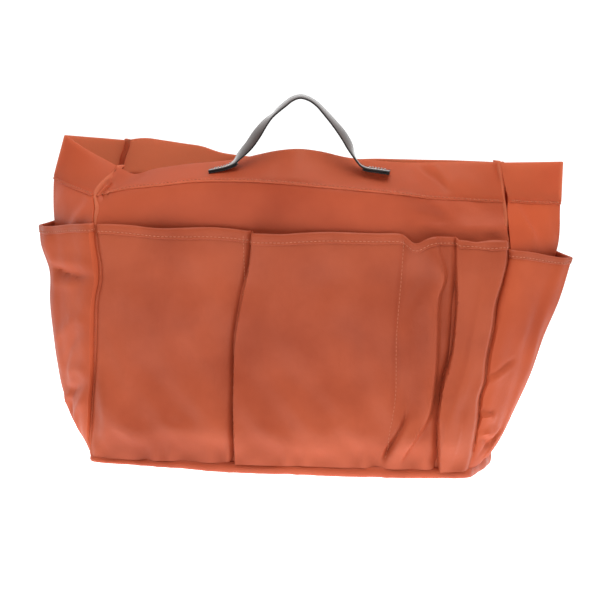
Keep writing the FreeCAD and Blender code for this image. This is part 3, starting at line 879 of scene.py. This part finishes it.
def make_base():
    """The base cloth: turned up round the panels in a soft, rippled roll, and flat below."""
    loop, outward = base_loop()
    count = len(loop)
    turn = np.arange(count) / count * 2 * math.pi
    ripple = 0.5 * np.sin(turn * 23) + 0.4 * np.sin(turn * 37 + 1) + 0.4 * np.sin(turn * 11 + 2)
    profile = [(1.0, 1.0), (2.2, 0.97), (3.4, 0.78), (3.9, 0.52), (3.2, 0.28), (1.4, 0.09),
               (-1.5, 0.02), (-8, 0.0), (-20, 0.0)]
    narrow = 1 - 0.6 * np.abs(outward[:, 0])
    lifted = 3.6 * smoothstep(0.2 * LEFT, 0.9 * LEFT, loop[:, 0]) \
        * smoothstep(0, 0.7 * FRONT, loop[:, 1])
    rings = []
    for out, rise in profile:
        swell = out * narrow + ripple * (0.8 if out > 1.2 else 0.2)
        ring = loop + outward * swell[:, None]
        ring[:, 2] = loop[:, 2] * rise + BASE_GAP + lifted * (1 - rise)
        ring[:, 2] += np.clip(ripple, 0, 1) * 0.7 * (0 < rise < 1)
        rings.append(ring)
    centre = loop.mean(axis=0)
    for shrink in (0.62, 0.3):
        ring = centre + (rings[-1] - centre) * shrink
        ring[:, 2] = BASE_GAP
        rings.append(ring)
    under = np.array(rings)
    over = under.copy()
    over[:, :, 2] += BASE_THICKNESS
    over[:4, :, :2] -= outward[None, :, :2] * 0.6
    walls = np.vstack([over[::-1], under])
    middles = [(centre[0], centre[1], BASE_GAP + BASE_THICKNESS), (centre[0], centre[1], BASE_GAP)]
    faces = strip_faces(len(walls), count, wrap_columns=True, flip=True)
    last, top = (len(walls) - 1) * count, len(walls) * count
    for j in range(count):
        beside = (j + 1) % count
        faces += [(beside, top, j), (last + j, top + 1, last + beside)]
    piece = new_object("base_panel_cloth", np.vstack([walls.reshape(-1, 3), middles]), faces, SHELL)
    finish_piece(piece, ["base_panel"])


def make_corner_tapes():
    """Tape over each corner seam's allowance, standing into the bag, and round the base seam."""
    for face in ("front", "back"):
        for side in ("left", "right"):
            heights = np.linspace(8, RIM + 1, 90)
            seam = post(f"{face}_{side}", heights)
            inward = unit(np.array([1 if side == "left" else -1, 0.9 if face == "front" else -0.9,
                                    0]))
            across = np.array([-inward[1], inward[0], 0])
            ridge = 1.3 * smoothstep(POCKET_TOP - 6, POCKET_TOP + 4, heights) - 0.4
            wave = 0.35 * np.sin(heights / 3.1)
            rows = []
            for reach, off in ((-1, 0.0), (-0.9, 0.8), (0.2, 1.1), (4.6, 0.75), (5.2, 0.0),
                               (4.6, -0.75), (0.2, -1.1), (-0.9, -0.8)):
                depth = np.where(reach < 0, reach * ridge, reach)
                rows.append(seam + inward * depth[:, None] + across * (off + wave)[:, None])
            piece = tube(f"{face}_{side}_seam_tape", rows, TAPE_PAINTED_LIGHT)
            finish_piece(piece, [f"{face}_{side}_seam_binding"])
    loop, outward = base_loop()
    rows = [loop + outward * reach + np.array([0, 0, rise]) for reach, rise in
            ((-0.9, 0.3), (-0.9, 4.6), (-1.5, 5.0), (-2.1, 4.6), (-2.1, 0.3))]
    faces = strip_faces(len(rows), len(loop), wrap_rows=True, wrap_columns=True)
    piece = new_object("base_seam_tape", np.vstack(rows), faces, TAPE_PAINTED_LIGHT)
    finish_piece(piece, ["base_seam_binding"])


# ---------------- handles
# How far past the arch's half span the back arch stops, the backings start, the back strap's
# sewn ends start and the stitches start.
ARCH_STOP, BACKING_START, END_START, SEWN_START = 10, 6, 8, 8.5
# From a strap's middle down to its backing's, and across to each line of stitches.
BACKING_DROP, STITCH_OFFSET = 1.24, 3.1


def handle_places(face):
    """An arch's middle, the line of its sewn ends (y, z), half its span and an end's length."""
    low, high = span(f"{face}_handle_strap")
    end_low, end_high = span(f"{face}_handle_right_end")
    middle = (low[0] + high[0]) / 2
    axis = ((end_low[1] + end_high[1]) / 2, (end_low[2] + end_high[2]) / 2)
    return middle, axis, (high[0] - low[0]) / 2, end_high[0] - end_low[0]


def ribbon(name, points, widths, width=STRAP_WIDTH, thickness=STRAP_THICKNESS):
    """A flat strap along points, its broad side along widths at each, with painted edges."""
    tangents = unit(np.gradient(points, axis=0))
    widths = unit(widths - tangents * np.sum(widths * tangents, axis=1)[:, None])
    normals = np.cross(tangents, widths)
    half, thick = width / 2, thickness / 2
    section = [(-half, -thick * 0.5), (-half + 0.45, -thick), (0, -thick * 1.05),
               (half - 0.45, -thick), (half, -thick * 0.5), (half, thick * 0.5),
               (half - 0.45, thick), (0, thick * 1.05), (-half + 0.45, thick), (-half, thick * 0.5)]
    rows = [points + widths * x + normals * y for x, y in section]
    piece = tube(name, rows, STRAP, smooth_angle=40)
    piece.data.materials.append(STRAP_EDGE)
    for index, polygon in enumerate(piece.data.polygons):
        polygon.material_index = int(index // (len(points) - 1) in (0, 3, 4, 5, 8, 9, 10))
    return piece


def handle_route(face):
    """A strap's route in its arch's plane, from one flat end over the arch to the other.

    Each key is x from the arch's middle, rise, and twist towards the front in degrees.
    """
    _, _, half_span, end_length = handle_places(face)
    left, right = -half_span, half_span
    far_left, far_right = left - end_length, right + end_length
    return [
        (far_left, -3.0, 0), ((far_left + left) / 2 - 4, -1.3, 0), (left - 11.5, 0.2, 3),
        (left - 7.5, 2.4, 10), (left - 4.2, 6.4, 24), (left - 0.8, 10.2, 34),
        (left + 2.3, 13.6, 39), (left + 8, 21.7, 42), (left + 14.3, 30.1, 24),
        (left + 18, 33.8, 11), (left + 22.5, 38.2, 14), (left + 27, 42.0, 16),
        (left + 31.5, 45.3, 13), (0.5, 46.9, 8), (7.1, 45.2, 5), (12.1, 41.8, 6), (17, 36.6, 9),
        (22.9, 29.9, 15), (right - 5.7, 20.1, 23), (right - 2.6, 14.4, 19),
        (right - 0.6, 9.8, 4), (right + 1.8, 5.4, -6), (right + 5, 1.9, -3), (right + 9, 0.3, 0),
        ((far_right + right) / 2 + 2, -0.4, 0), (far_right, -1.6, 0)]


def back_band(x, z):
    """The back band's outside at each x and height, and its normals there."""
    surface = FACES["back"]
    foot, rim = [surface(fraction_across("back", x - LEFT, height), height)
                 for height in (np.full(len(x), float(BAND_FOOT)), np.full(len(x), float(RIM)))]
    height = BAND_FOOT + (z - foot[:, 2]) / (rim[:, 2] - foot[:, 2]) * (RIM - BAND_FOOT)
    s = fraction_across("back", x - LEFT, height)
    return surface(s, height), surface_normals(surface, "back", s, height)


def handle_line(face):
    """Points along a strap's middle, the direction of its breadth, and its upper side's."""
    middle, (y, z), _, _ = handle_places(face)
    keys = handle_route(face)
    steps = [math.hypot(b[0] - a[0], b[1] - a[1]) for a, b in zip(keys, keys[1:])]
    knots = np.concatenate([[0], np.cumsum(steps)])
    route = hermite(knots, keys, np.linspace(0, knots[-1], int(knots[-1] / 0.7)))
    x, rise, twist = route[:, 0] + middle, route[:, 1], np.radians(route[:, 2])
    flat = np.stack([x, np.zeros(len(x)), rise], axis=1)
    outer = np.cross(unit(np.gradient(flat, axis=0)), (0, 1, 0))
    widths = np.cos(twist)[:, None] * np.array([0, 1, 0]) + np.sin(twist)[:, None] * outer
    hang = math.radians(back_hang()) if face == "back" else 0.0
    angle = np.full(len(x), hang)
    points = np.stack([x, y + np.sin(angle) * rise, z + 0.6 + np.cos(angle) * rise], axis=1)
    if face == "back":
        band, normals = back_band(x, z + np.minimum(rise, 2.0))
        lies = (1 - smoothstep(-0.6, 1.6, rise))[:, None]
        points = lies * (band + normals * STRAP_STACK) + (1 - lies) * points
        leans = 1 - smoothstep(0.5, 7.0, rise)
        angle = leans * np.arctan2(normals[:, 1], normals[:, 2]) + (1 - leans) * angle
    turned = np.stack([widths[:, 0],
                       widths[:, 1] * np.cos(angle) + widths[:, 2] * np.sin(angle),
                       widths[:, 2] * np.cos(angle) - widths[:, 1] * np.sin(angle)], axis=1)
    return points, turned, unit(np.cross(np.gradient(points, axis=0), turned))


def make_handle(face):
    """A strap: its arch, its two sewn ends over their backings, and their stitches.

    The front arch bends where it leaves its ends. The back one turns on the line of its ends.
    """
    middle, (y, z), half_span, end_length = handle_places(face)
    points, widths, tops = handle_line(face)
    reach = np.abs(points[:, 0] - middle) - half_span
    arch = np.full(len(points), True) if face == "front" else reach < ARCH_STOP
    piece = ribbon(f"{face}_handle_leather", points[arch], widths[arch])
    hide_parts(f"{face}_handle_strap")
    if face == "front":
        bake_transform(piece)
    else:
        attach(piece, "back_handle")
    sewn = []
    for side, sign in (("left", -1), ("right", 1)):
        out = reach * (np.sign(points[:, 0] - middle) == sign)
        end = out > BACKING_START
        backing = ribbon(f"{face}_handle_{side}_backing", points[end] - BACKING_DROP * tops[end],
                         widths[end])
        finish_piece(backing, [f"{face}_handle_{side}_end"])
        if face == "back":
            over = out > END_START
            end_strap = ribbon(f"back_handle_{side}_end_strap", points[over] + 0.06 * tops[over],
                               widths[over], STRAP_WIDTH + 0.2, STRAP_THICKNESS + 0.2)
            finish_piece(end_strap)
        run = (out > SEWN_START) & (out < end_length - 1.5)
        for across in (-STITCH_OFFSET, STITCH_OFFSET):
            sewn.append((points[run] + across * widths[run] + 0.7 * tops[run], tops[run]))
    finish_piece(stitches(f"{face}_handle_stitches", sewn, PALE_THREAD, pitch=2.0, length=1.4,
                          radius=0.26))


def back_hang():
    """How far the back handle's arch is turned from upright, from its CAD strap's own box."""
    low, high = span("back_handle_strap")
    _, (y, z), _, _ = handle_places("back")
    return 180 - math.degrees(math.atan2(high[1] - y, z - low[2]))


# ---------------- the stage
def make_floor():
    """A pale floor with a light of its own, brightest round the bag."""
    material, tree = node_material("floor_white")
    place = add(tree, "ShaderNodeTexCoord")
    away = add(tree, "ShaderNodeVectorMath", operation="LENGTH")
    fade = add(tree, "ShaderNodeMapRange",
               {"From Min": FLOOR_FADE[0], "From Max": FLOOR_FADE[1], "To Min": FLOOR_GLOW[0],
                "To Max": FLOOR_GLOW[1]}, interpolation_type="SMOOTHSTEP")
    matt = add(tree, "ShaderNodeBsdfDiffuse", Color=FLOOR_GREY)
    glow = add(tree, "ShaderNodeEmission", Color=(1, 1, 1, 1))
    both = add(tree, "ShaderNodeAddShader")
    output = add(tree, "ShaderNodeOutputMaterial")
    wire(tree, (place, "Object", away, 0), (away, "Value", fade, "Value"),
         (fade, "Result", glow, "Strength"), (matt, 0, both, 0), (glow, 0, both, 1),
         (both, 0, output, "Surface"))
    corners = [(x * FLOOR_REACH, y * FLOOR_REACH, 0) for x, y in ((-1, -1), (1, -1), (1, 1), (-1, 1))]
    floor = new_object("floor", corners, [(0, 1, 2, 3)], material)


def make_lights():
    """The tent's light, which dims smoothly towards its opening, and a soft light overhead."""
    world = bpy.data.worlds.new("tent")
    world.use_nodes = True
    tree = world.node_tree
    tree.nodes.clear()
    place = add(tree, "ShaderNodeTexCoord")
    facing = add(tree, "ShaderNodeVectorMath", {1: TENT_OPENING}, operation="DOT_PRODUCT")
    shade = add(tree, "ShaderNodeMapRange",
                {"From Min": TENT_EDGE[0], "From Max": TENT_EDGE[1], "To Min": TENT_LIGHT,
                 "To Max": OPENING_LIGHT}, interpolation_type="SMOOTHSTEP")
    sky = add(tree, "ShaderNodeBackground", Color=(1, 1, 1, 1))
    output = add(tree, "ShaderNodeOutputWorld")
    wire(tree, (place, "Generated", facing, 0), (facing, "Value", shade, "Value"),
         (shade, "Result", sky, "Strength"), (sky, 0, output, "Surface"))
    bpy.context.scene.world = world
    light = bpy.data.lights.new("overhead", "AREA")
    light.size = OVERHEAD_SIZE
    light.energy = OVERHEAD_POWER
    lamp = place_in_scene("overhead", light)
    lamp.location = OVERHEAD_PLACE
    direction = Vector(LAMP_TARGET) - lamp.location
    lamp.rotation_euler = direction.to_track_quat("-Z", "Y").to_euler()


def make_camera():
    azimuth, elevation = math.radians(AZIMUTH), math.radians(ELEVATION)
    data = bpy.data.cameras.new("camera")
    data.sensor_width = SENSOR_WIDTH
    data.lens = SENSOR_WIDTH * DISTANCE / VIEW_WIDTH
    camera = place_in_scene("camera", data)
    toward = Vector((-math.sin(azimuth) * math.cos(elevation),
                     math.cos(azimuth) * math.cos(elevation), -math.sin(elevation)))
    camera.location = Vector(CAMERA_TARGET) - toward * DISTANCE
    camera.rotation_euler = toward.to_track_quat("-Z", "Y").to_euler()
    bpy.context.scene.camera = camera
    bpy.context.scene.view_settings.view_transform = "Standard"


make_camera()
make_floor()
make_lights()
make_base()
make_shell()
make_bands()
make_front_and_back_pockets()
make_side_pockets()
make_corner_tapes()
make_handle("front")
make_handle("back")
